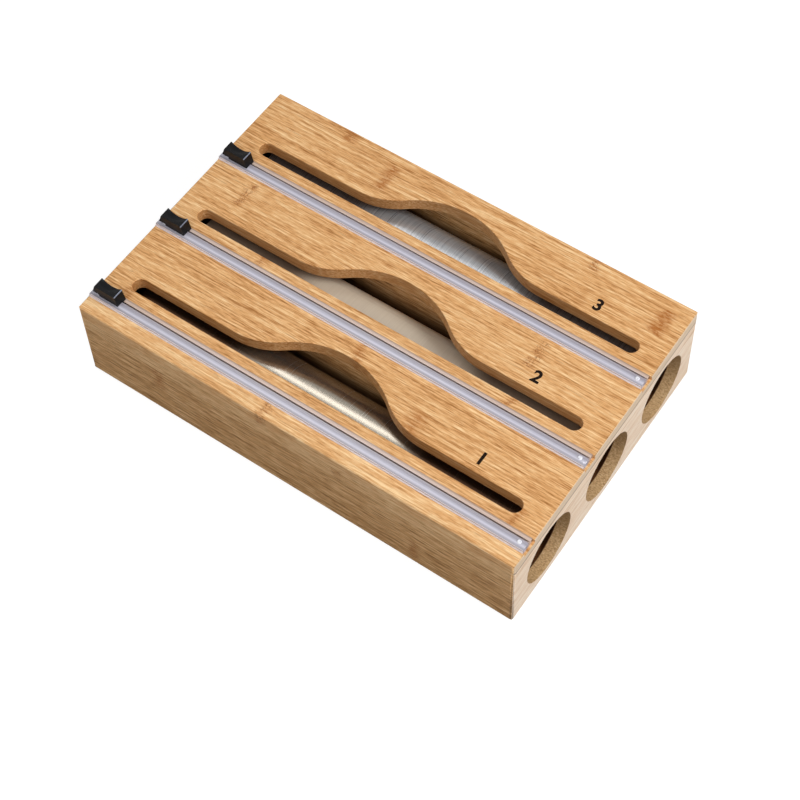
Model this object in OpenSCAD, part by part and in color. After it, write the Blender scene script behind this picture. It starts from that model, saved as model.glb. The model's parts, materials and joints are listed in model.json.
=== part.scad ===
// Wrap dispenser: a closed bamboo box with three bays side by side.
// A roll lies loose in each bay, its sheet comes up through a wave slot in the top panel,
// and a small cutter slides along a clear rail in front of the slot.
// Rolls are loaded through the round holes in the right-hand board.
// The origin is the middle of the underside. X runs left to right, Y front to back, Z up.
// All sizes are millimetres.

/* [Rolls] */
// Length of the cardboard core
core_l = 300; // [240:1:460]
// Outer diameter of the core
core_d = 33; // [24:0.5:38]
// Wall of the core
core_t = 1.5; // [1:0.1:3]
// Bare core at each end of the sheet
core_bare = 1.5; // [0.5:0.5:6]
// Thickness of the sheet wound on the core of a full roll
wound_t = 7; // [3:0.5:12]

/* [Box] */
// Room past each end of a roll
end_room = 8.9; // [2:0.1:20]
// Room in front of a roll and behind it
side_room = 7.5; // [5:0.5:15]
// Room over a roll
head_room = 7; // [5:0.5:15]
// Room round a roll as it goes in through its loading hole
load_room = 1.5; // [1:0.1:2]
// Thickness of the front and back boards
wall_t = 10; // [6:0.5:14]
// Thickness of the left and right boards
end_wall_t = 8.6; // [6:0.2:14]
// Thickness of the top panel
top_t = 10; // [6:0.5:14]
// Thickness of the floor panel
floor_t = 6; // [3:0.5:10]
// Thickness of the two dividers
divider_t = 6.5; // [3:0.5:10]
// Rounding of the outer edges
edge_r = 0.8; // [0.4:0.1:2.4]

/* [Wave slots] */
// How far a slot reaches past each end of the sheet
slot_past = 1.25; // [0:0.25:4]
// Width of the straight part of a slot
slot_w = 10.8; // [6:0.2:14]
// Strip of wood between a rail and its slot
slot_gap = 7.8; // [4:0.2:10]
// Wood between the crest of a wave and the back of its bay
crest_set = 5.4; // [2:0.1:12]
// Radius at the crest of the wave
crest_r = 65; // [40:1:90]
// Radius at the two feet of the wave
foot_r = 50; // [20:1:70]

/* [Cutter rails] */
// Width of a rail, front to back
rail_w = 11.8; // [10:0.1:14]
// Gap from the front of a bay to the front edge of its rail
rail_set = 0.8; // [0:0.1:3]
// Wood left open at the right end of a rail
rail_short = 1.8; // [0.5:0.1:6]
// Depth of the groove that a rail lies in
groove_d = 3; // [2.5:0.1:4]
// How far the front lip of a rail stands above the wood
rail_rise = 1.5; // [1.2:0.1:2.5]
// How far the rear lip of a rail stands above the wood
rear_rise = 0.5; // [0.3:0.1:0.9]
// Wall and lip thickness of a rail
rail_t = 0.9; // [0.7:0.1:1.1]
// Narrow foot along the front of a rail
skirt_w = 1; // [0.6:0.1:1.4]
// Width of the slit that a cutter runs in
slit_w = 1.4; // [1.1:0.1:1.8]
// From the rear edge of a rail to the middle of its slit
slit_back = 3.6; // [3:0.1:4.4]
// Distance of the stop pins from the ends of a rail
stop_set = 5; // [3:0.5:8]
// Diameter of a stop pin
stop_d = 2.2; // [1.6:0.1:2.6]

/* [Cutters] */
// Length of the grip at its foot
grip_l = 20.6; // [17:0.2:28]
// Reach of the grip in front of the slit
grip_front = 5.3; // [4.4:0.1:6.2]
// Reach of the grip behind the slit
grip_back = 2.8; // [2.4:0.1:3.5]
// Length of the mouth under the left end of the grip, where the sheet meets the blade
mouth_l = 5.3; // [4.4:0.1:6.4]
// Height of the roof of the mouth above the wood
mouth_h = 3.5; // [3.1:0.1:5]
// Least thickness of the grip, between the roof of the mouth and the thumb dish
roof_t = 3.7; // [2:0.1:5]
// Depth of the thumb dish, which is deepest at the rear edge of the grip
dish_d = 3; // [1:0.1:3.6]
// Least width of the land left at each end of the thumb dish
grip_land = 0.6; // [0.3:0.1:2]
// Lean of the left end of the grip, in degrees
left_lean = 18; // [0:1:24]
// Lean of the right end of the grip, in degrees
right_lean = 12; // [0:1:20]
// Thickness of the blade
blade_t = 0.4; // [0.3:0.05:0.6]

/* [Hidden] */

// Overrun of every cut past the face it opens
over = 1;
// Gap between pieces that slide or turn past each other
run_clear = 0.3;
// Gap between pieces that are pressed or glued into a seat
seat_clear = 0.05;

// Box, built up around three rolls: 335 long, 219 deep and 70 high with the sizes above
bays = 3;
roll_d = core_d + 2 * wound_t;
bay_w = roll_d + 2 * side_room;
bay_pitch = bay_w + divider_t;
inner_l = core_l + 2 * end_room;
inner_w = bays * bay_pitch - divider_t;
side_h = floor_t + roll_d + head_room;
box_l = inner_l + 2 * end_wall_t;
box_w = inner_w + 2 * wall_t;
box_h = side_h + top_t;
arc_steps = 4;

// Rails, measured from the front edge of the rail and from the top of the wood
groove_w = rail_w + 2 * seat_clear;
rail_l = box_l - seat_clear - rail_short;
rail_x = -box_l / 2 + seat_clear;
slit_mid = rail_w - slit_back;
lip_under = rail_rise - rail_t;
rear_under = rear_rise - rail_t;
skirt_rise = rear_rise / 2;
channel_floor = rail_t - groove_d;

// Stop pins: the head stands out all round over the pin
stop_head_out = 0.45;
stop_head_rise = 0.55;
stop_y = (skirt_w + rail_t + slit_mid) / 2;

// Wave slots, measured from the front of a bay
sheet_l = core_l - 2 * core_bare;
slot_l = sheet_l + 2 * slot_past;
slot_front = rail_set + groove_w + slot_gap;
slot_back = slot_front + slot_w;
wave_h = bay_w - slot_back - crest_set;
wave_r = crest_r + foot_r;
wave_reach = sqrt(wave_h * (2 * wave_r - wave_h));
wave_turn = asin(wave_reach / wave_r);
wave_steps = 12;
end_steps = 12;

// Loading holes stand on the floor panel
hole_d = roll_d + 2 * load_room;
hole_z = floor_t + hole_d / 2;

// Cutters, measured from the left end of the grip, the middle of the slit and the top of the wood
grip_foot = rail_rise + run_clear;
grip_h = mouth_h + roof_t + dish_d;
// How far the two ends lean inwards at the top
left_run = (grip_h - mouth_h) * tan(left_lean);
right_run = (grip_h - grip_foot) * tan(right_lean);
dish_chord = grip_l - left_run - right_run - 2 * grip_land;
dish_x = left_run + grip_land + dish_chord / 2;
stem_t = slit_w - 2 * run_clear;
// Where the cutting edge starts under the roof of the mouth
blade_tip = 1.2;
// How far the heel of the cutting edge stands out from the back wall of the mouth
heel_out = 0.7;
blade_heel = mouth_l - heel_out;
// How deep the blade is held in the grip, behind the mouth and above it
blade_hold = 2.5;
blade_root = mouth_l + blade_hold;
blade_seat = 0.8;
blade_top = mouth_h + blade_seat;
// How far the blade reaches below the front lip, so that no sheet slips under it
blade_dip = 0.1;
blade_low = lip_under - blade_dip;
// Material of the grip between the blade and the stem, and behind the stem
stem_wall = 0.5;
stem_inset = 1.6;
stem_start = blade_root + stem_wall;
stem_end = grip_l - stem_inset;
// The runner reaches past the grip at both ends, so that it meets the stop pins first
runner_past = stop_head_out + run_clear;
runner_start = mouth_l - runner_past;
runner_l = grip_l + runner_past - runner_start;
runner_front = slit_mid - skirt_w - rail_t - run_clear;
runner_back = slit_back - rail_t - run_clear;
runner_floor = channel_floor + run_clear;
// Every cutter is parked against its left stop pin
stop_reach = stop_set + stop_d / 2 + run_clear;
cutter_x = rail_x + stop_reach - runner_start;

// Rolls
roll_z = floor_t + roll_d / 2 + run_clear;
// Step of the loose edge of the sheet, and half the angle that its last turn covers
edge_step = 0.3;
edge_turn = 26;
// How far each loose roll lies behind the middle of its bay
roll_shifts = [1, -1, 2.4];

bamboo = "#cf9c5f";
bamboo_side = "#dcbd97";
clear_plastic = "#c9c8e0";
black_plastic = "#1c1c1e";
steel = "#c7cbd0";
cardboard = "#b48a5c";

// Y of the front of a bay, counted from the front
function bay_y(i) = -inner_w / 2 + i * bay_pitch;
// Y of the middle of the slit of a rail
function slit_y(i) = bay_y(i) + rail_set + seat_clear + slit_mid;
// Y of the axis of a roll
function roll_y(i) = bay_y(i) + bay_w / 2 + roll_shifts[i];
// Radius of a shallow scoop from its chord and its depth
function scoop_r(chord, depth) = (chord * chord / 4 + depth * depth) / (2 * depth);
// Points along an arc
function arc(x, y, r, from, to, steps) =
    [for (k = [0:steps]) let (a = from + (to - from) * k / steps) [x + r * cos(a), y + r * sin(a)]];

// Turns a profile drawn in Y and Z into a bar along X that starts at X = 0
module along_x(length) {
    rotate([90, 0, 90]) linear_extrude(length) children();
}

// One outer board with its outer face at Y = -off, mitred at both ends to boards of thickness side_t
module mitred_board(length, off, board_t, side_t) {
    intersection() {
        linear_extrude(side_h)
            polygon(concat(
                arc(edge_r - length / 2, edge_r - off, edge_r, 225, 270, arc_steps),
                arc(length / 2 - edge_r, edge_r - off, edge_r, 270, 315, arc_steps),
                [[length / 2 - side_t, board_t - off], [side_t - length / 2, board_t - off]]));
        translate([-length / 2 - over, 0, 0]) along_x(length + 2 * over)
            polygon(concat(
                arc(edge_r - off, edge_r, edge_r, 180, 270, arc_steps),
                [[board_t - off, 0], [board_t - off, side_h + over], [-off, side_h + over]]));
    }
}

module front_board() {
    color(bamboo) mitred_board(box_l, box_w / 2, wall_t, end_wall_t);
}

module back_board() {
    color(bamboo) mirror([0, 1, 0]) mitred_board(box_l, box_w / 2, wall_t, end_wall_t);
}

module left_board() {
    color(bamboo_side) rotate([0, 0, -90]) mitred_board(box_w, box_l / 2, end_wall_t, wall_t);
}

// The right-hand board has one loading hole for each bay
module right_board() {
    color(bamboo_side) difference() {
        rotate([0, 0, 90]) mitred_board(box_w, box_l / 2, end_wall_t, wall_t);
        for (i = [0:bays - 1])
            translate([box_l / 2 - end_wall_t - over, bay_y(i) + bay_w / 2, hole_z])
                rotate([0, 90, 0]) cylinder(d = hole_d, h = end_wall_t + 2 * over, $fn = 96);
    }
}

module floor_panel() {
    color(bamboo) translate([-inner_l / 2, -inner_w / 2, 0]) cube([inner_l, inner_w, floor_t]);
}

// The divider behind bay i
module divider(i) {
    color(bamboo) translate([-inner_l / 2, bay_y(i) + bay_w, floor_t])
        cube([inner_l, divider_t, side_h - floor_t]);
}

// Rectangle with its two upper corners rounded, centred on zero, for the eased edges of the top
module eased_profile(width) {
    polygon(concat(
        [[-width / 2, side_h], [width / 2, side_h]],
        arc(width / 2 - edge_r, box_h - edge_r, edge_r, 0, 90, arc_steps),
        arc(edge_r - width / 2, box_h - edge_r, edge_r, 90, 180, arc_steps)));
}

// Plan of the top panel, with its four corners rounded
module eased_plan() {
    x = box_l / 2 - edge_r;
    y = box_w / 2 - edge_r;
    polygon(concat(
        arc(x, y, edge_r, 0, 90, 2 * arc_steps),
        arc(-x, y, edge_r, 90, 180, 2 * arc_steps),
        arc(-x, -y, edge_r, 180, 270, 2 * arc_steps),
        arc(x, -y, edge_r, 270, 360, 2 * arc_steps)));
}

// Straight slot with round ends, whose rear edge swings back in a wave over the middle of the roll
module wave_slot() {
    end_r = slot_w / 2;
    end_x = slot_l / 2 - end_r;
    mid_y = slot_front + end_r;
    foot_y = slot_back + foot_r;
    crest_y = slot_back + wave_h - crest_r;
    polygon(concat(
        arc(-end_x, mid_y, end_r, 90, 270, end_steps),
        arc(end_x, mid_y, end_r, -90, 90, end_steps),
        arc(wave_reach, foot_y, foot_r, 270, 270 - wave_turn, wave_steps),
        arc(0, crest_y, crest_r, 90 - wave_turn, 90 + wave_turn, 2 * wave_steps),
        arc(-wave_reach, foot_y, foot_r, 270 + wave_turn, 270, wave_steps)));
}

// Top panel: eased all round, with a wave slot and a rail groove over each bay
module top_panel() {
    color(bamboo) difference() {
        intersection() {
            translate([0, 0, side_h]) linear_extrude(top_t) eased_plan();
            translate([-box_l / 2 - over, 0, 0]) along_x(box_l + 2 * over) eased_profile(box_w);
            translate([0, box_w / 2 + over, 0]) rotate([90, 0, 0])
                linear_extrude(box_w + 2 * over) eased_profile(box_l);
        }
        for (i = [0:bays - 1]) translate([0, bay_y(i), 0]) {
            translate([0, 0, side_h - over]) linear_extrude(top_t + 2 * over) wave_slot();
            translate([-box_l / 2 - over, rail_set, box_h - groove_d])
                cube([box_l + 2 * over, groove_w, groove_d + over]);
        }
    }
}

// Section of a rail: a channel with a tall front lip, a low rear lip and a slit between them
module rail_section() {
    slit_front = slit_mid - slit_w / 2;
    slit_rear = slit_mid + slit_w / 2;
    inner_front = skirt_w + rail_t;
    inner_rear = rail_w - rail_t;
    polygon([
        [0, -groove_d], [rail_w, -groove_d], [rail_w, rear_rise], [slit_rear, rear_rise],
        [slit_rear, rear_under], [inner_rear, rear_under], [inner_rear, channel_floor],
        [inner_front, channel_floor], [inner_front, lip_under], [slit_front, lip_under],
        [slit_front, rail_rise], [skirt_w, rail_rise], [skirt_w, skirt_rise], [0, skirt_rise]]);
}

// Puts its children at both stop pins of the rail of bay i
module at_stops(i) {
    for (x = [rail_x + stop_set, rail_x + rail_l - stop_set])
        translate([x, bay_y(i) + rail_set + seat_clear + stop_y, box_h]) children();
}

module rail(i) {
    color(clear_plastic) difference() {
        translate([rail_x, bay_y(i) + rail_set + seat_clear, box_h]) along_x(rail_l) rail_section();
        at_stops(i) translate([0, 0, channel_floor + seat_clear])
            cylinder(d = stop_d + 2 * seat_clear, h = groove_d + rail_rise + over, $fn = 32);
    }
}

// Headed pins through the front lips, which stop the runners at both ends of the rails
module rail_stops() {
    color(clear_plastic) for (i = [0:bays - 1]) at_stops(i) {
        translate([0, 0, channel_floor + seat_clear])
            cylinder(d = stop_d, h = rail_rise - channel_floor, $fn = 32);
        translate([0, 0, rail_rise + seat_clear])
            cylinder(d1 = stop_d + 2 * stop_head_out, d2 = stop_d, h = stop_head_rise, $fn = 32);
    }
}

// Puts its children at the left end of the cutter of bay i
module at_cutter(i) {
    translate([cutter_x, slit_y(i), box_h]) children();
}

// Outline of the blade, seen from the front
module blade_outline() {
    polygon([[blade_heel, blade_low], [blade_root, blade_low], [blade_root, blade_top],
        [blade_tip, blade_top], [blade_tip, mouth_h]]);
}

// Slot in the grip that the root and the upper edge of the blade are pressed into
module blade_pocket() {
    translate([blade_tip - seat_clear, -blade_t / 2 - seat_clear, blade_low - seat_clear])
        cube([blade_root - blade_tip + 2 * seat_clear, blade_t + 2 * seat_clear,
            blade_top - blade_low + 2 * seat_clear]);
}

// Side view of the grip: both ends lean in, and the mouth is open under the left end
module grip_side() {
    polygon([[mouth_l, 0], [grip_l, 0], [grip_l, grip_foot], [grip_l - right_run, grip_h],
        [left_run, grip_h], [0, mouth_h], [mouth_l, mouth_h]]);
}

// Moulded grip: a thumb dish that opens to the rear, leaning ends, and a stem down through the slit
module grip(i) {
    dish_r = scoop_r(dish_chord, dish_d);
    rear_foot = rear_rise + run_clear;
    color(black_plastic) at_cutter(i) difference() {
        union() {
            intersection() {
                along_x(grip_l) polygon([
                    [-grip_front, grip_foot], [-stem_t / 2, grip_foot], [-stem_t / 2, rear_foot],
                    [grip_back, rear_foot], [grip_back, grip_h], [-grip_front, grip_h]]);
                translate([0, grip_back + over, 0]) rotate([90, 0, 0])
                    linear_extrude(grip_front + grip_back + 2 * over) grip_side();
            }
            translate([stem_start, -stem_t / 2, runner_floor])
                cube([stem_end - stem_start, stem_t, grip_foot - runner_floor + over]);
        }
        translate([dish_x, grip_back, grip_h + dish_r - dish_d]) sphere(r = dish_r, $fn = 96);
        blade_pocket();
    }
}

// Runner that slides in the channel and carries the grip by its stem
module runner(i) {
    step_y = stem_t / 2;
    color(black_plastic) at_cutter(i) difference() {
        translate([runner_start, 0, 0]) along_x(runner_l) polygon([
            [-runner_front, runner_floor], [runner_back, runner_floor],
            [runner_back, rear_under - run_clear], [step_y + seat_clear, rear_under - run_clear],
            [step_y + seat_clear, lip_under - run_clear], [-runner_front, lip_under - run_clear]]);
        translate([stem_start - seat_clear, -step_y - seat_clear, runner_floor - over])
            cube([stem_end - stem_start + 2 * seat_clear, stem_t + 2 * seat_clear,
                lip_under - runner_floor + 2 * over]);
    }
}

module blade(i) {
    color(steel) at_cutter(i) translate([0, blade_t / 2, 0]) rotate([90, 0, 0])
        linear_extrude(blade_t) blade_outline();
}

// Puts a bar along X on the axis of the roll of bay i, centred end to end
module on_roll_axis(i, length) {
    translate([-length / 2, roll_y(i), roll_z]) rotate([0, 90, 0]) children();
}

module core(i) {
    color(cardboard) on_roll_axis(i, core_l) difference() {
        cylinder(d = core_d, h = core_l, $fn = 96);
        translate([0, 0, -over]) cylinder(d = core_d - 2 * core_t, h = core_l + 2 * over, $fn = 96);
    }
}

// Wound sheet, with the loose edge of its last turn lying on it as a low step
module sheet(i, tint) {
    edge_x = -roll_d * cos(edge_turn);
    edge_y = roll_d * sin(edge_turn);
    color(tint) on_roll_axis(i, sheet_l) difference() {
        union() {
            cylinder(d = roll_d - 2 * edge_step, h = sheet_l, $fn = 128);
            intersection() {
                cylinder(d = roll_d, h = sheet_l, $fn = 128);
                linear_extrude(sheet_l) polygon([[0, 0], [edge_x, -edge_y], [edge_x, edge_y]]);
            }
        }
        translate([0, 0, -over])
            cylinder(d = core_d + 2 * seat_clear, h = sheet_l + 2 * over, $fn = 96);
    }
}

front_board();
back_board();
left_board();
right_board();
floor_panel();
divider(0);  // front_divider
divider(1);  // back_divider
top_panel();
rail(0);  // front_rail
rail(1);  // middle_rail
rail(2);  // back_rail
rail_stops();
grip(0);  // front_grip
grip(1);  // middle_grip
grip(2);  // back_grip
runner(0);  // front_runner
runner(1);  // middle_runner
runner(2);  // back_runner
blade(0);  // front_blade
blade(1);  // middle_blade
blade(2);  // back_blade
core(0);  // front_core
core(1);  // middle_core
core(2);  // back_core
sheet(0, "#b9b6b0");  // foil_sheet
sheet(1, "#d8cfc0");  // wax_sheet
sheet(2, "#b5bac0");  // film_sheet
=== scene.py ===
"""Looks of a bamboo wrap dispenser with three rolls and three sliding cutters.

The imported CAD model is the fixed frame. X runs left to right, Y front to back, Z up,
and the origin is the middle of the underside. Blender works in metres; sizes of the part
are given in millimetres here and multiplied by MM.
"""

import json
import math

import bmesh
import bpy
from mathutils import Matrix, Vector

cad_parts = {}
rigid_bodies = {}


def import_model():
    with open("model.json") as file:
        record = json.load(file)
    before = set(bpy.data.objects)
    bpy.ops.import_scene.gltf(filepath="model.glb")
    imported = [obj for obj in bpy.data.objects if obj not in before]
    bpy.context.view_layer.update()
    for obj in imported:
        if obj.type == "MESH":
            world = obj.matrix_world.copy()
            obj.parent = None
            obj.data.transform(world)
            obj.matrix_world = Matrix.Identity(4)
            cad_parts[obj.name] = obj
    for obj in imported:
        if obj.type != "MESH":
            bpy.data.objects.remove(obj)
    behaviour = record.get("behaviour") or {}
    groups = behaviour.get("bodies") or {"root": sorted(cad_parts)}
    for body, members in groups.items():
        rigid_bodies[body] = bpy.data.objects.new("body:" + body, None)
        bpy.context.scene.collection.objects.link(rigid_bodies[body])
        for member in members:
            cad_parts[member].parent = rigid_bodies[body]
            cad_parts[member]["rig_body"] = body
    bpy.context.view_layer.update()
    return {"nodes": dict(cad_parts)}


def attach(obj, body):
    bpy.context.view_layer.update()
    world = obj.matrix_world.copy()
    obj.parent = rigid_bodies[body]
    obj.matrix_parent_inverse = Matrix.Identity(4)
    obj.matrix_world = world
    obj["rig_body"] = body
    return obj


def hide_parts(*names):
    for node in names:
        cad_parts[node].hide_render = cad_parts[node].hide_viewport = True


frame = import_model()
MM = 0.001
PER_MM = 1000

# Sizes of the part

HALF_L = 167.5
HALF_W = 109.5
TOP_Z = 70.0
PANEL_Z = 60.0
BAYS = ("front", "middle", "back")
BAY_PITCH = 68.5
FIRST_BAY = -99.5
RAIL_SET = 0.8
GROOVE_W = 11.9
SLIT_SET = 9.05
SLOT_ZONE = (16, 60)
SLOT_REACH = 152
HOLE_ZONE_Z = (5.5, 56.5)
HOLE_REACH = 100
CAD_CORNER_R = 0.8
CORNER_R = 2.4
GRIP_FOOT_Z = 70.6
GRIP_RIDGE_X = -146.75
GRIP_TOP_Z = 80.2
ROLL_Z = 29.8
ROLL_YS = {"foil": -67.5, "wax_paper": -1.0, "plastic_film": 70.9}


def srgb(r, g, b):
    """A colour given as it looks on screen, 0 to 255, as the linear values that a shader takes."""

    def linear(c):
        c /= 255
        return c / 12.92 if c <= 0.04045 else ((c + 0.055) / 1.055) ** 2.4

    return (linear(r), linear(g), linear(b), 1.0)


# Node trees

# Factor, A and B of a Mix node that mixes colours
MIX_SOCKETS = (0, 6, 7)


class Tree:
    """Short calls for building one material's nodes."""

    def __init__(self, name):
        self.material = bpy.data.materials.new(name)
        self.material.use_nodes = True
        self.tree = self.material.node_tree
        self.tree.nodes.clear()
        self.output = self.add("ShaderNodeOutputMaterial")

    def add(self, kind, **settings):
        node = self.tree.nodes.new(kind)
        for key, value in settings.items():
            setattr(node, key, value)
        return node

    def put(self, socket, value):
        """Links an output to a socket, or sets the socket's own value."""
        if isinstance(value, bpy.types.NodeSocket):
            self.tree.links.new(value, socket)
        else:
            socket.default_value = value

    def put_all(self, node, values):
        for socket, value in zip(node.inputs, values):
            self.put(socket, value)
        return node.outputs[0]

    def math(self, operation, *values, clamp=False):
        return self.put_all(self.add("ShaderNodeMath", operation=operation, use_clamp=clamp), values)

    def times(self, a, b, clamp=False):
        return self.math("MULTIPLY", a, b, clamp=clamp)

    def plus(self, base, value, share):
        """base + value * share"""
        return self.math("MULTIPLY_ADD", value, share, base)

    def size(self, value):
        return self.math("ABSOLUTE", value)

    def apart(self, a, b):
        return self.size(self.math("SUBTRACT", a, b))

    def same(self, number, other):
        """1 where two whole numbers are the same, and 0 elsewhere."""
        return self.math("COMPARE", number, float(other), 0.4)

    def join(self, x, y, z):
        return self.put_all(self.add("ShaderNodeCombineXYZ"), (x, y, z))

    def split(self, vector):
        node = self.add("ShaderNodeSeparateXYZ")
        self.put(node.inputs[0], vector)
        return node.outputs

    def scaled(self, vector, scale):
        return self.put_all(self.add("ShaderNodeVectorMath", operation="MULTIPLY"), (vector, scale))

    def place(self):
        """A point's place in the part, in metres."""
        return self.add("ShaderNodeTexCoord").outputs["Object"]

    def place_mm(self):
        return self.scaled(self.place(), (PER_MM, PER_MM, PER_MM))

    def facing(self, axis):
        """How squarely the surface faces along an axis, 0 to 1."""
        return self.size(self.split(self.add("ShaderNodeTexCoord").outputs["Normal"])[axis])

    def noise(self, vector, scale, detail=2.0, roughness=0.5):
        """Noise, -0.5 to 0.5, whose features are 1 / scale long on each axis."""
        node = self.add("ShaderNodeTexNoise")
        self.put(node.inputs["Vector"], self.scaled(vector, scale))
        node.inputs["Scale"].default_value = 1.0
        node.inputs["Detail"].default_value = detail
        node.inputs["Roughness"].default_value = roughness
        return self.math("SUBTRACT", node.outputs["Fac"], 0.5)

    def random(self, value):
        """A steady random number, 0 to 1, for each whole value."""
        node = self.add("ShaderNodeTexWhiteNoise", noise_dimensions="1D")
        self.put(node.inputs["W"], value)
        return node.outputs["Value"]

    def ease(self, value, start, end, low=0.0, high=1.0):
        """Goes smoothly from low to high as value goes from start to end."""
        node = self.add("ShaderNodeMapRange", interpolation_type="SMOOTHSTEP")
        return self.put_all(node, (value, start, end, low, high))

    def ramp(self, value, *stops):
        node = self.add("ShaderNodeValToRGB")
        self.put(node.inputs[0], value)
        elements = node.color_ramp.elements
        while len(elements) < len(stops):
            elements.new(0.5)
        for element, (place, colour) in zip(elements, stops):
            element.position, element.color = place, colour
        return node.outputs[0]

    def speckled(self, noise, dark, light, start=0.3, end=0.7):
        """A colour between two tones, picked by a noise."""
        return self.ramp(self.math("ADD", noise, 0.5), (start, dark), (end, light))

    def mix(self, share, a, b):
        node = self.add("ShaderNodeMix", data_type="RGBA", clamp_factor=True)
        for number, value in zip(MIX_SOCKETS, (share, a, b)):
            self.put(node.inputs[number], value)
        return node.outputs[2]

    def bump(self, height, distance, strength):
        node = self.add("ShaderNodeBump")
        node.inputs["Distance"].default_value = distance
        node.inputs["Strength"].default_value = strength
        self.put(node.inputs["Height"], height)
        return node.outputs[0]

    def surface(self, **sockets):
        """Ends the material in one Principled shader."""
        shader = self.add("ShaderNodeBsdfPrincipled")
        for name, value in sockets.items():
            self.put(shader.inputs[name.replace("_", " ")], value)
        self.tree.links.new(shader.outputs[0], self.output.inputs["Surface"])
        return self.material


# Wood

STRIP = 21.6

# Marks of the bamboo's own nodes: place along the grain and number of the strip, then half
# width, strength of the brown cloud and strength of the thin lines
TOP_KNOTS = [
    (-102.5, 5, 5.5, 0.75, 0.5),
    (93.0, 5, 5.0, 0.70, 0.9),
    (-62.0, 4, 6.5, 1.00, 0.3),
    (152.0, 4, 7.5, 1.20, 0.3),
    (-132.5, 1, 4.5, 0.35, 0.9),
    (98.5, 1, 5.0, 0.30, 0.9),
    (-90.0, -1, 4.5, 0.60, 0.5),
    (103.5, -1, 4.0, 0.60, 0.6),
    (5.0, -2, 5.0, 0.70, 0.4),
    (62.5, -3, 8.5, 0.70, 0.2),
    (-147.5, -4, 4.5, 0.60, 0.6),
    (150.0, -4, 4.0, 0.70, 0.4),
    (-20.0, -5, 5.0, 0.55, 0.9),
]
FACE_KNOTS = [(-105.5, 1, 6.0, 0.55, 0.5), (37.5, 2, 5.0, 0.45, 0.5), (94.5, 0, 5.0, 0.5, 0.5)]

# Fibres at five scales: features per millimetre along the grain and across it, and their weight
FIBRES = [
    (0.150, 1.50, 1.25),
    (0.040, 0.95, 1.60),
    (0.018, 0.55, 0.55),
    (0.012, 0.24, 0.24),
    (0.008, 0.07, 0.20),
]
THIN_FIBRE = 0.9

# How the strips differ: reach of their shifts in millimetres, spread of tone, the pale strip's rise
SHIFT_REACH = 900.0
STRIP_SPREAD = 0.10
PALE_RISE = 0.22

# Other marks of the grain: features per millimetre on the three axes, and the dark tone's share
SWAY = (0.010, 0.06, 1.0)
SWAY_REACH = 2.2
DASHES = (0.12, 1.4, 1.4)
DASH_SHARE = 0.20
LINE_SHARE = 0.16
VESSELS = (0.009, 0.62, 0.62)
VESSEL_SHARE = 0.50
SEAM_W = 0.22
SEAM_SHARE = 0.28
CUT_SHARE = 0.45
KNOT_SHARE = 0.85

# Dark, middle and light tone of the wood, then the tone of its thin marks
TOP_TONES = [srgb(162, 105, 50), srgb(224, 169, 110), srgb(249, 212, 160), srgb(146, 91, 42)]
FACE_TONES = [srgb(146, 101, 53), srgb(215, 164, 108), srgb(245, 204, 152), srgb(132, 85, 42)]
SIDE_TONES = [srgb(218, 182, 146), srgb(249, 224, 198), srgb(255, 243, 228), srgb(202, 162, 124)]
END_TONES = [srgb(208, 182, 154), srgb(238, 217, 190)]
# Tones of a loading hole's wall, browner than the board as painted shade
BORE_TONES = [srgb(138, 100, 60), srgb(200, 163, 116), srgb(232, 204, 162)]
GLUE_TONE = srgb(172, 146, 124)
CUT_TONE = srgb(156, 101, 48)
# Tone of the painted shade inside the box
INNER_SHADE_TONE = srgb(80, 48, 24)
KNOT_BROWN = srgb(168, 98, 36)
KNOT_DARK = srgb(142, 82, 34)


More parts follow.
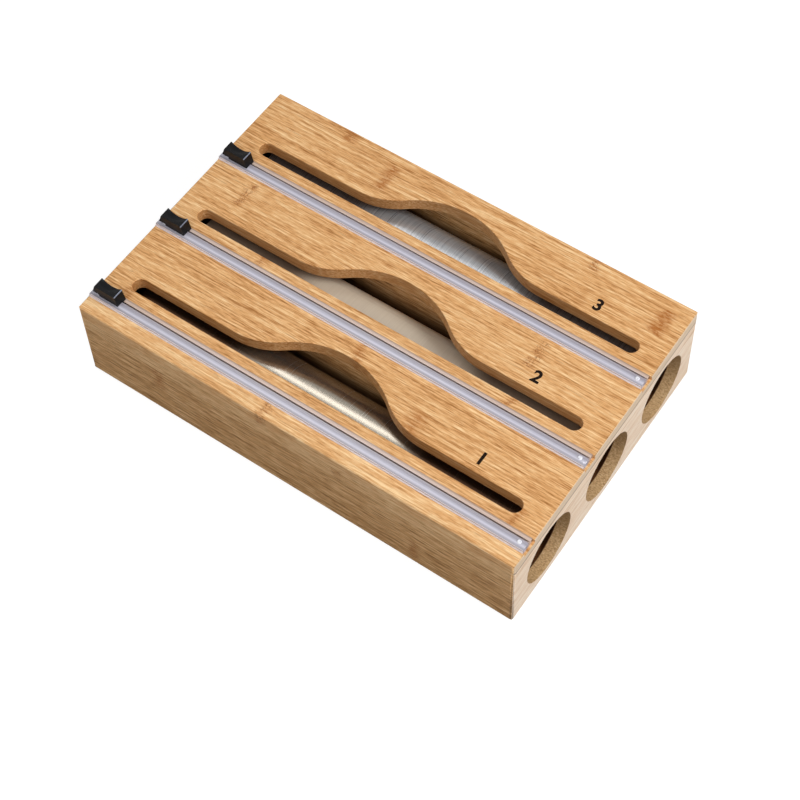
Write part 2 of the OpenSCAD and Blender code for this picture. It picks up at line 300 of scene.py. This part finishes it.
def bamboo(
    name,
    along,
    across,
    first,
    tones,
    gloss,
    knots=(),
    end_tones=None,
    bore_tones=None,
    cut_tone=None,
    inner_shade=None,
    pale_strip=None,
    contrast=1.0,
    fineness=1.0,
    seed=0.0,
):
    """Laminated bamboo: strips side by side, long fibres, thin dark lines and node marks.

    along and across are axis numbers, and first is where strip 0 starts, in millimetres.
    An axis and a reach from the middle can be given for the inside of the box, where painted shade
    darkens the wood.
    contrast scales all marks of the grain, and fineness only the thin ones.
    """
    t = Tree(name)
    xyz = t.split(t.place_mm())
    deep = 3 - along - across
    u, v, w = xyz[along], xyz[across], xyz[deep]
    thin_contrast = contrast * fineness
    dark = tones[3]

    # Number of the strip, and a shift that gives each its own fibres
    count = t.math("DIVIDE", t.math("SUBTRACT", v, first), STRIP)
    number = t.math("FLOOR", count)
    chance = t.random(t.math("ADD", number, seed + 0.5))
    shift = t.times(chance, SHIFT_REACH)
    sway = t.noise(t.join(u, v, shift), SWAY, 1.0)
    cell = t.join(t.math("ADD", u, shift), t.math("ADD", v, t.times(sway, SWAY_REACH)), w)

    # Tone of the strip and of its fibres
    tone = t.plus(0.5, t.math("SUBTRACT", chance, 0.5), STRIP_SPREAD)
    if pale_strip is not None:
        tone = t.plus(tone, t.same(number, pale_strip), PALE_RISE)
    layers = []
    for long, cross, weight in FIBRES:
        layer = t.noise(cell, (long, cross, cross))
        tone = t.plus(tone, layer, weight * (contrast if cross < THIN_FIBRE else thin_contrast))
        layers.append(layer)
    fine, lines = layers[:2]
    colour = t.ramp(tone, (0.0, tones[0]), (0.5, tones[1]), (1.0, tones[2]))

    # Short dark dashes, thin dark lines between the fibres and long broken ones
    dashes = t.ease(t.noise(cell, DASHES, 1.0), 0.10, 0.22)
    thin = t.ease(t.size(lines), 0.030, 0.0)
    vessel = t.ease(t.size(t.noise(cell, VESSELS, 1.0)), 0.016, 0.0)
    vessel = t.times(vessel, t.ease(fine, -0.12, 0.0))
    for mark, share in ((dashes, DASH_SHARE), (thin, LINE_SHARE), (vessel, VESSEL_SHARE)):
        colour = t.mix(t.times(mark, share * thin_contrast), colour, dark)

    # Glue line between strips
    from_seam = t.times(t.apart(t.math("FRACT", t.math("ADD", count, 0.5)), 0.5), STRIP)
    seam = t.ease(from_seam, SEAM_W, 0.04)
    colour = t.mix(t.times(seam, SEAM_SHARE), colour, dark)

    if knots:
        colour = knot_marks(t, colour, knots, u, v, w, number)
    if end_tones:
        colour = end_grain(t, colour, end_tones, along, u, v, w)
    if cut_tone:
        colour = routed_walls(t, colour, cut_tone, deep, u, v)
    # Painted shade on the walls of the loading holes
    if bore_tones:
        colour = sawn_bore(t, colour, bore_tones, deep, u, v, w)
    # Painted shade on the wood inside the box
    if inner_shade:
        colour = painted_inner_shade(t, colour, xyz, *inner_shade)

    height = t.plus(t.times(lines, 0.5), fine, 0.6)
    height = t.plus(height, seam, -0.12)
    return t.surface(
        Base_Color=colour,
        Roughness=t.plus(0.50, fine, 0.20),
        Specular_IOR_Level=gloss,
        Normal=t.bump(height, 0.00008, 0.5),
    )


def knot_marks(t, colour, knots, u, v, w, number):
    """Brown clouds of short dashes and thin wavy lines where the bamboo had its nodes."""
    bend = t.noise(t.join(v, w, t.times(u, 0.05)), (0.20, 0.20, 1.0), 1.0)
    fray = t.noise(t.join(v, w, t.times(u, 0.10)), (1.10, 1.10, 1.0), 1.0)
    moved = t.plus(t.plus(u, fray, 8.0), bend, 9.0)
    cloud, scribble = 0.0, 0.0
    for centre, strip, half, cloud_share, line_share in knots:
        near = t.ease(t.apart(moved, centre), half * 1.1, 0.0)
        here = t.times(near, t.same(number, strip))
        cloud = t.plus(cloud, here, cloud_share)
        scribble = t.plus(scribble, here, line_share)
    specks = t.ease(t.noise(t.join(u, v, w), (0.34, 0.95, 0.95)), -0.14, 0.16)
    soft = t.times(cloud, t.plus(0.35, specks, 0.75), clamp=True)
    colour = t.mix(t.times(soft, KNOT_SHARE), colour, KNOT_BROWN)
    curls = t.noise(t.join(u, v, w), (0.22, 0.20, 0.20), 3.0, 0.65)
    line = t.times(t.ease(t.size(curls), 0.045, 0.010), scribble, clamp=True)
    return t.mix(t.times(line, KNOT_SHARE), colour, KNOT_DARK)


def end_grain(t, colour, tones, along, u, v, w):
    """Where the fibres meet the surface at the panel's ends, with the glue line under it."""
    pores = t.noise(t.join(t.times(u, 0.1), v, w), (1.0, 2.2, 2.6))
    layered = t.noise(t.join(0.0, v, w), (1.0, 0.05, 0.55), 1.0)
    tone = t.plus(t.plus(0.5, layered, 0.5), pores, 0.75)
    end_colour = t.ramp(tone, (0.25, tones[0]), (0.75, tones[1]))
    outer = t.ease(t.size(u), HALF_L - 8.0, HALF_L - 6.0)
    ending = t.times(t.ease(t.facing(along), 0.35, 0.95), outer)
    colour = t.mix(ending, colour, end_colour)
    glue = t.ease(t.apart(w, PANEL_Z + 0.8), 1.1, 0.4)
    return t.mix(t.times(glue, ending), colour, GLUE_TONE)


def routed_walls(t, colour, tone, deep, u, v):
    """Upright walls of the slots, mixed towards a darker brown."""
    upright = t.ease(t.facing(deep), 0.6, 0.3)
    inner = t.ease(t.size(u), HALF_L - 10.0, HALF_L - 12.0)
    inner = t.times(inner, t.ease(t.size(v), HALF_W - 3.0, HALF_W - 5.0))
    return t.mix(t.times(t.times(upright, inner), CUT_SHARE), colour, tone)


def sawn_bore(t, colour, tones, deep, u, v, w):
    """Wall of a loading hole, speckled, and browner than the board as painted shade."""
    speckle = t.noise(t.join(u, v, w), (1.3, 1.3, 0.7), 2.0, 0.6)
    stops = zip((0.15, 0.5, 0.85), tones)
    bore = t.ramp(t.plus(0.5, speckle, 1.2), *stops)
    return t.mix(t.ease(t.facing(deep), 0.6, 0.3), colour, bore)


def painted_inner_shade(t, colour, xyz, axis, limit):
    """Painted shade on the wood inside the box, darkest low down and at the ends."""
    inside = t.ease(t.size(xyz[axis]), limit + 0.8, limit + 0.3)
    inside = t.times(inside, t.ease(xyz[2], 0.5, 1.0))
    low = t.ease(xyz[2], 20.0, 46.0, 0.9, 0.0)
    share = t.math("MAXIMUM", low, t.ease(t.size(xyz[0]), 138.0, 150.0))
    return t.mix(t.times(inside, share), colour, INNER_SHADE_TONE)


# Other materials

RAIL_RAMP_W = 14.0

# Tones across a rail, by millimetres from the front of its bay, with painted shade at its front crease
# and rear edge and painted highlights along its front edge and the front of its top
RAIL_TONES = [
    (0.9, (222, 204, 196)),
    (1.8, (222, 208, 206)),
    (2.5, (146, 140, 148)),
    (3.2, (160, 156, 166)),
    (4.3, (204, 201, 214)),
    (5.1, (188, 186, 198)),
    (6.2, (158, 154, 166)),
    (7.2, (152, 146, 156)),
    (8.4, (160, 149, 155)),
    (9.9, (196, 170, 152)),
    (11.0, (208, 181, 162)),
    (12.2, (160, 130, 104)),
]


def rail_plastic():
    """Clear extruded plastic with a lilac cast, painted shade in its hollows and at its rear edge,
    painted highlights as light lines and white streaks, and clearest at the rear.
    """
    t = Tree("clear_rail")
    x, y, _ = t.split(t.place_mm())
    bay = t.math("FRACT", t.math("DIVIDE", t.math("SUBTRACT", y, FIRST_BAY), BAY_PITCH))
    across = t.times(bay, BAY_PITCH / RAIL_RAMP_W)
    stops = [(from_front / RAIL_RAMP_W, srgb(*tone)) for from_front, tone in RAIL_TONES]
    # Streaks mixed towards white are painted highlights; they also vary the roughness
    streak = t.noise(t.join(x, y, 0.0), (0.01, 1.6, 1.0))
    colour = t.mix(t.plus(0.1, streak, 0.5), t.ramp(across, *stops), srgb(232, 230, 242))
    return t.surface(
        Base_Color=colour,
        Roughness=t.plus(0.26, streak, 0.12),
        Specular_IOR_Level=0.45,
        Subsurface_Weight=0.15,
        Subsurface_Radius=(0.002, 0.002, 0.0025),
        Subsurface_Scale=1.0,
    )


def pin_plastic():
    """Clear moulded stop pins, whiter than the rails, with faint flow marks."""
    t = Tree("clear_pin")
    flow = t.noise(t.place(), (700, 700, 300))
    return t.surface(
        Base_Color=t.speckled(flow, srgb(214, 214, 226), srgb(248, 248, 252)),
        Roughness=t.plus(0.14, flow, 0.1),
        Specular_IOR_Level=0.8,
    )


def moulded_plastic():
    """Black moulded plastic with the fine grain of its mould and a painted highlight along a grip's
    right ridge.
    """
    t = Tree("black_plastic")
    grain = t.noise(t.place(), (2600, 2600, 2600))
    wear_and_glint = t.noise(t.place(), (260, 260, 260))
    colour = t.speckled(wear_and_glint, srgb(5, 5, 6), srgb(13, 13, 16))
    x, _, z = t.split(t.place_mm())
    # Painted highlight along the right ridge of each grip, broken up by the mottling noise
    along = t.ease(t.apart(x, GRIP_RIDGE_X), 0.6, 0.2)
    ridge = t.times(along, t.ease(z, GRIP_TOP_Z - 0.9, GRIP_TOP_Z - 0.3))
    ridge = t.times(ridge, t.plus(0.75, wear_and_glint, 1.2), clamp=True)
    return t.surface(
        Base_Color=t.mix(ridge, colour, srgb(160, 168, 188)),
        Roughness=t.plus(0.36, wear_and_glint, 0.22),
        Specular_IOR_Level=0.15,
        Normal=t.bump(grain, 0.00006, 0.5),
    )


def blade_steel():
    """Ground steel, with scratches that run down to the cutting edge."""
    t = Tree("blade_steel")
    scratch = t.noise(t.place(), (5200, 900, 300))
    return t.surface(
        Base_Color=t.speckled(scratch, srgb(168, 172, 178), srgb(208, 211, 215)),
        Metallic=1.0,
        Roughness=t.plus(0.28, scratch, 0.3),
        Normal=t.bump(scratch, 0.00002, 0.4),
    )


# Brown of the painted shade on a roll's ends, in the narrow parts of the slots
ROLL_END_SHADE = srgb(84, 54, 30)


def wound(name, dark, middle, light, rough, fine_share, brown, **sheen):
    """A wound sheet: rings round the roll, thin turns on its ends, slight slack between turns.

    Towards its ends the roll gets a painted brown shade, by the share that is given.
    """
    t = Tree(name)
    x, y, z = t.split(t.place_mm())
    y = t.math("SUBTRACT", y, ROLL_YS[name])
    z = t.math("SUBTRACT", z, ROLL_Z)
    away = t.math("SQRT", t.math("ADD", t.times(y, y), t.times(z, z)))
    turn = t.math("ARCTAN2", z, y)
    rings = t.noise(t.join(x, t.times(turn, 0.25), 0.0), (2.2, 1.0, 1.0), 3.0)
    slack = t.noise(t.join(x, y, z), (0.02, 0.06, 0.06))
    turns = t.noise(t.join(0.0, away, t.times(turn, 0.2)), (1.0, 4.0, 1.0))
    streak = t.mix(t.ease(t.facing(0), 0.5, 0.9), rings, turns)
    tone = t.plus(0.5, streak, fine_share)
    tone = t.plus(tone, slack, 0.25)
    colour = t.ramp(tone, (0.2, dark), (0.5, middle), (0.8, light))
    # Painted shade towards the roll's ends
    ends = t.ease(t.size(x), 54.0, 80.0)
    height = t.plus(t.times(streak, 0.06), slack, 3.0)
    return t.surface(
        Base_Color=t.mix(t.times(ends, brown), colour, ROLL_END_SHADE),
        Roughness=t.plus(rough, streak, 0.18),
        Normal=t.bump(height, 0.0001, 0.20),
        **sheen,
    )


def card():
    """Grey-brown cardboard with paper fibres and soft blotches."""
    t = Tree("core_board")
    fibre = t.noise(t.place(), (900, 1500, 1500), 3.0, 0.6)
    blotch = t.noise(t.place(), (60, 60, 60))
    tone = t.plus(t.plus(0.5, blotch, 0.5), fibre, 0.7)
    return t.surface(
        Base_Color=t.ramp(tone, (0.2, srgb(146, 112, 76)), (0.8, srgb(190, 154, 112))),
        Roughness=0.85,
        Specular_IOR_Level=0.2,
        Normal=t.bump(fibre, 0.0001, 0.4),
    )


def ink():
    """Black printing that lets a little of the grain through."""
    t = Tree("ink")
    grain = t.noise(t.place_mm(), (0.05, 1.8, 1.0), 3.0)
    return t.surface(
        Base_Color=t.speckled(grain, srgb(14, 8, 5), srgb(38, 24, 15), 0.35, 0.75),
        Roughness=t.plus(0.6, grain, 0.3),
        Specular_IOR_Level=0.08,
    )


MATERIALS = {
    "bamboo_top": bamboo(
        "bamboo_top",
        along=0,
        across=1,
        first=-8.0,
        tones=TOP_TONES,
        gloss=0.28,
        knots=TOP_KNOTS,
        end_tones=END_TONES,
        cut_tone=CUT_TONE,
        pale_strip=-5,
    ),
    "bamboo_face": bamboo(
        "bamboo_face",
        along=0,
        across=2,
        first=5.4,
        tones=FACE_TONES,
        gloss=0.15,
        knots=FACE_KNOTS,
        inner_shade=(1, 99.5),
        pale_strip=2,
        contrast=1.35,
        seed=31.0,
    ),
    "bamboo_end": bamboo(
        "bamboo_end",
        along=1,
        across=2,
        first=3.0,
        tones=SIDE_TONES,
        gloss=0.35,
        bore_tones=BORE_TONES,
        inner_shade=(0, 158.9),
        contrast=2.3,
        fineness=0.32,
        seed=57.0,
    ),
    "clear_rail": rail_plastic(),
    "black_plastic": moulded_plastic(),
    "blade_steel": blade_steel(),
    "core_board": card(),
    "foil": wound(
        "foil",
        dark=srgb(142, 134, 121),
        middle=srgb(165, 157, 144),
        light=srgb(184, 178, 167),
        rough=0.24,
        fine_share=0.40,
        brown=0.88,
        Metallic=0.92,
    ),
    "wax_paper": wound(
        "wax_paper",
        dark=srgb(180, 165, 144),
        middle=srgb(200, 186, 166),
        light=srgb(216, 204, 187),
        rough=0.45,
        fine_share=0.35,
        brown=0.76,
        Specular_IOR_Level=0.5,
    ),
    "plastic_film": wound(
        "plastic_film",
        dark=srgb(118, 119, 122),
        middle=srgb(162, 163, 165),
        light=srgb(202, 203, 204),
        rough=0.30,
        fine_share=0.85,
        brown=0.72,
        Metallic=0.45,
        Specular_IOR_Level=0.8,
    ),
}

# Pieces

FLAT = math.radians(0.4)
SHARP = math.radians(40)
SMOOTH = math.radians(50)
WELD = 1e-6
FACE_AREA_WEIGHT = 80
SLACK = 0.01
LONG_EDGE = 50


def link(thing):
    bpy.context.scene.collection.objects.link(thing)


def round_corners(bm):
    """Widens the rounding of the box's four upright corners, inside the CAD model's outline."""
    for v in bm.verts:
        dx = abs(v.co.x) / MM - HALF_L + CAD_CORNER_R
        dy = abs(v.co.y) / MM - HALF_W + CAD_CORNER_R
        if min(dx, dy) < -SLACK or math.hypot(dx, dy) < CAD_CORNER_R - 2 * SLACK:
            continue
        turn = math.atan2(dy, dx)
        v.co.x = math.copysign((HALF_L - CORNER_R + CORNER_R * math.cos(turn)) * MM, v.co.x)
        v.co.y = math.copysign((HALF_W - CORNER_R + CORNER_R * math.sin(turn)) * MM, v.co.y)


def eased_copy(node, name, *rules):
    """A copy of a CAD node with its flat faces merged and chosen sharp edges rounded.

    Each rule is a width in millimetres, a number of segments and a test of an edge's two ends.
    """
    source = frame["nodes"][node]
    slot = source.material_slots[0].name
    bm = bmesh.new()
    bm.from_mesh(source.data)
    bmesh.ops.remove_doubles(bm, verts=bm.verts, dist=WELD)
    bmesh.ops.dissolve_limit(bm, angle_limit=FLAT, verts=bm.verts, edges=bm.edges)
    round_corners(bm)
    for width, segments, chosen in rules:
        edges = [
            e
            for e in bm.edges
            if len(e.link_faces) == 2
            and e.calc_face_angle(0) > SHARP
            and chosen(e.verts[0].co / MM, e.verts[1].co / MM)
        ]
        bmesh.ops.bevel(
            bm,
            geom=edges,
            offset=width * MM,
            offset_type="OFFSET",
            segments=segments,
            profile=0.5,
            affect="EDGES",
            clamp_overlap=True,
        )
    mesh = bpy.data.meshes.new(name)
    bm.to_mesh(mesh)
    bm.free()
    piece = bpy.data.objects.new(name, mesh)
    link(piece)
    mesh.polygons.foreach_set("use_smooth", [True] * len(mesh.polygons))
    mesh.set_sharp_from_angle(angle=SMOOTH)
    even = piece.modifiers.new("even_normals", "WEIGHTED_NORMAL")
    even.keep_sharp = True
    even.weight = FACE_AREA_WEIGHT
    mesh.materials.append(MATERIALS[slot])
    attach(piece, source["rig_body"])
    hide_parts(node)


def level(a, b, z):
    """Whether an edge lies at a height."""
    return max(abs(a.z - z), abs(b.z - z)) < 2 * SLACK


def at_slot(p):
    """Whether a point of the top panel is on the rim of a wave slot."""
    from_bay = (p.y - FIRST_BAY) % BAY_PITCH
    return SLOT_ZONE[0] < from_bay < SLOT_ZONE[1] and abs(p.x) < SLOT_REACH


def at_groove(p):
    from_bay = (p.y - FIRST_BAY) % BAY_PITCH
    return min(abs(from_bay - RAIL_SET), abs(from_bay - RAIL_SET - GROOVE_W)) < 5 * SLACK


def long_edge(a, b):
    return abs(a.x - b.x) > LONG_EDGE


def slot_rim(z):
    return lambda a, b: level(a, b, z) and at_slot(a) and at_slot(b)


def groove_rim(a, b):
    return level(a, b, TOP_Z) and at_groove(a) and long_edge(a, b)


def panel_foot(a, b):
    """Lower edges of the top panel at both ends of the box."""
    return level(a, b, PANEL_Z) and min(abs(a.x), abs(b.x)) > HALF_L - SLACK


def on_side(side):
    """Test for edges in the outer face of the right-hand board, 1, or the left-hand one, -1."""
    return lambda a, b: min(a.x * side, b.x * side) > HALF_L - SLACK


def board_head(side):
    outer = on_side(side)
    return lambda a, b: level(a, b, PANEL_Z) and outer(a, b)


def hole_rim(side):
    outer = on_side(side)

    def chosen(a, b):
        low, high = HOLE_ZONE_Z
        upright = min(a.z, b.z) > low and max(a.z, b.z) < high
        return outer(a, b) and upright and max(abs(a.y), abs(b.y)) < HOLE_REACH

    return chosen


def outside_grip(slit_y):
    """Test for the outer edges of a grip: not the narrow pocket and stem at its middle."""

    def chosen(a, b):
        clear = min(abs(a.y - slit_y), abs(b.y - slit_y)) > 0.6 or abs(a.y - b.y) > 1.5
        return clear and min(a.z, b.z) > GRIP_FOOT_Z

    return chosen


eased_copy(
    "top_panel",
    "top_panel_eased",
    (0.7, 3, slot_rim(TOP_Z)),
    (0.3, 2, slot_rim(PANEL_Z)),
    (0.08, 2, groove_rim),
    (0.22, 2, panel_foot),
)
for node in ("front_board", "back_board"):
    eased_copy(node, node + "_eased")
for node, side in (("right_board", 1), ("left_board", -1)):
    eased_copy(node, node + "_eased", (0.25, 2, board_head(side)), (0.5, 3, hole_rim(side)))
for bay in BAYS:
    eased_copy(f"{bay}_rail", f"{bay}_rail_eased", (0.10, 2, long_edge))
for i, bay in enumerate(BAYS):
    slit_y = FIRST_BAY + i * BAY_PITCH + SLIT_SET
    eased_copy(f"{bay}_grip", f"{bay}_grip_moulded", (0.45, 3, outside_grip(slit_y)))

# CAD nodes that stay get their materials
for thing in frame["nodes"].values():
    if not thing.hide_render:
        thing.material_slots[0].material = MATERIALS[thing.material_slots[0].name]
frame["nodes"]["rail_stops"].material_slots[0].material = pin_plastic()


# Digits

DIGITS = [("1", 111.0, -58.0), ("2", 107.5, 10.5), ("3", 111.25, 78.5)]
DIGIT_H = 9.6 * MM
STROKE_GAIN = 0.034
INK_RISE = 0.03 * MM
ink_black = ink()


def digit(text, x, y):
    """One printed digit, flat on the top panel."""
    curve = bpy.data.curves.new("digit", "FONT")
    curve.body = text
    curve.size = 1.0
    curve.offset = STROKE_GAIN
    curve.extrude = 0.01
    drawn = bpy.data.objects.new("drawn", curve)
    link(drawn)
    bpy.context.view_layer.update()
    seen = drawn.evaluated_get(bpy.context.evaluated_depsgraph_get())
    mesh = bpy.data.meshes.new_from_object(seen)
    bpy.data.objects.remove(drawn)
    xs, ys, zs = zip(*[v.co for v in mesh.vertices])
    scale = DIGIT_H / (max(ys) - min(ys))
    centre = Vector(((max(xs) + min(xs)) / 2, (max(ys) + min(ys)) / 2, max(zs)))
    thick = 2 * INK_RISE / (max(zs) - min(zs)) / scale
    for v in mesh.vertices:
        p = (v.co - centre) * scale
        v.co = (p.x + x * MM, p.y + y * MM, p.z * thick + TOP_Z * MM + INK_RISE)
    piece = bpy.data.objects.new("printed_digit_" + text, mesh)
    link(piece)
    mesh.materials.clear()
    mesh.materials.append(ink_black)
    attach(piece, "case")


for text, x, y in DIGITS:
    digit(text, x, y)


# Floor, light and camera

FLOOR_REACH = 4.0
FLOOR_DROP = 0.0002
OPENING_INSET = 1.0
FLOOR_GREY = 0.30
FLOOR_GLOW = 0.84
FLOOR_BOUNCE = 0.35
AMBIENT = 0.11
BACKDROP = 0.8
AIM = (0, 0, 0.03)


def grey_diffuse(t, value):
    shader = t.add("ShaderNodeBsdfDiffuse")
    shader.inputs["Color"].default_value = (value, value, value, 1)
    return shader.outputs[0]


def stage_material():
    """White floor that keeps a soft shadow; it is clear from below."""
    t = Tree("floor_white")
    glow = t.add("ShaderNodeEmission")
    glow.inputs["Strength"].default_value = FLOOR_GLOW
    shown = t.put_all(t.add("ShaderNodeAddShader"), (grey_diffuse(t, FLOOR_GREY), glow.outputs[0]))
    seen = t.add("ShaderNodeLightPath").outputs["Is Camera Ray"]
    above = t.put_all(t.add("ShaderNodeMixShader"), (seen, grey_diffuse(t, FLOOR_BOUNCE), shown))
    behind = t.add("ShaderNodeNewGeometry").outputs["Backfacing"]
    clear = t.add("ShaderNodeBsdfTransparent").outputs[0]
    both = t.put_all(t.add("ShaderNodeMixShader"), (behind, above, clear))
    t.put(t.output.inputs["Surface"], both)
    return t.material


def floor():
    """Floor with an opening under the box, through which its underside is lit."""

    def corners(x, y):
        return [(-x, -y, 0), (x, -y, 0), (x, y, 0), (-x, y, 0)]

    outer = corners(FLOOR_REACH, FLOOR_REACH)
    inner = corners((HALF_L - OPENING_INSET) * MM, (HALF_W - OPENING_INSET) * MM)
    sides = [(i, (i + 1) % 4, 4 + (i + 1) % 4, 4 + i) for i in range(4)]
    mesh = bpy.data.meshes.new("floor")
    mesh.from_pydata(outer + inner, [], sides)
    mesh.materials.append(stage_material())
    plane = bpy.data.objects.new("floor", mesh)
    plane.location = (0, 0, -FLOOR_DROP)
    link(plane)


def world():
    """Pale where it is seen, mirrored or looked through; a plain soft light elsewhere."""
    scene_world = bpy.data.worlds.new("studio")
    bpy.context.scene.world = scene_world
    scene_world.use_nodes = True
    tree = scene_world.node_tree
    tree.nodes.clear()
    links = tree.links
    path = tree.nodes.new("ShaderNodeLightPath")
    shown = path.outputs["Is Camera Ray"]
    for ray in ("Is Glossy Ray", "Is Transmission Ray"):
        either = tree.nodes.new("ShaderNodeMath")
        either.operation = "MAXIMUM"
        links.new(shown, either.inputs[0])
        links.new(path.outputs[ray], either.inputs[1])
        shown = either.outputs[0]
    pick = tree.nodes.new("ShaderNodeMixShader")
    links.new(shown, pick.inputs[0])
    for socket, grey, strength in ((pick.inputs[1], 1.0, AMBIENT), (pick.inputs[2], BACKDROP, 1.0)):
        light = tree.nodes.new("ShaderNodeBackground")
        light.inputs["Color"].default_value = (grey, grey, grey, 1)
        light.inputs["Strength"].default_value = strength
        links.new(light.outputs[0], socket)
    links.new(pick.outputs[0], tree.nodes.new("ShaderNodeOutputWorld").inputs[0])


def lamp(name, place, size, power, aim=AIM):
    data = bpy.data.lights.new(name, "AREA")
    data.shape = "RECTANGLE"
    data.size, data.size_y = size
    data.energy = power
    thing = bpy.data.objects.new(name, data)
    thing.location = place
    thing.rotation_mode = "QUATERNION"
    thing.rotation_quaternion = (Vector(aim) - Vector(place)).to_track_quat("-Z", "Y")
    link(thing)


def camera():
    """The photograph's view, which was cropped from a larger one: the lens is shifted."""
    eye = Vector((0.42783, -0.56291, 1.1002))
    forward = Vector((-0.348903, 0.485686, -0.801483)).normalized()
    roll = math.radians(1.6328)
    level_right = forward.cross(Vector((0, 0, 1))).normalized()
    right = Matrix.Rotation(roll, 3, forward) @ level_right
    up = right.cross(forward)
    data = bpy.data.cameras.new("camera")
    data.lens = 87.26
    data.sensor_width = 36
    data.shift_x = -0.01789
    data.shift_y = -0.21029
    data.clip_start = 0.01
    thing = bpy.data.objects.new("camera", data)
    turn = Matrix((right, up, -forward)).transposed()
    thing.matrix_world = Matrix.Translation(eye) @ turn.to_4x4()
    link(thing)
    bpy.context.scene.camera = thing


floor()
world()
lamp("overhead", (-0.66, 0.61, 1.78), (0.5, 0.4), 2.5)
lamp("side", (1.88, 0.44, 1.57), (1.3, 1.1), 46.0)
lamp("front", (0.25, -1.05, 1.90), (1.6, 1.4), 13.5)
lamp("low_front", (0.3, -1.6, 1.35), (1.5, 1.0), 6.0)
lamp("left", (-1.9, -0.3, 0.9), (1.2, 1.0), 8.0)
lamp("under", (0.2, -0.3, -1.5), (1.2, 1.2), 12.0, aim=(0, 0, 0))
camera()
bpy.context.scene.view_settings.view_transform = "Standard"
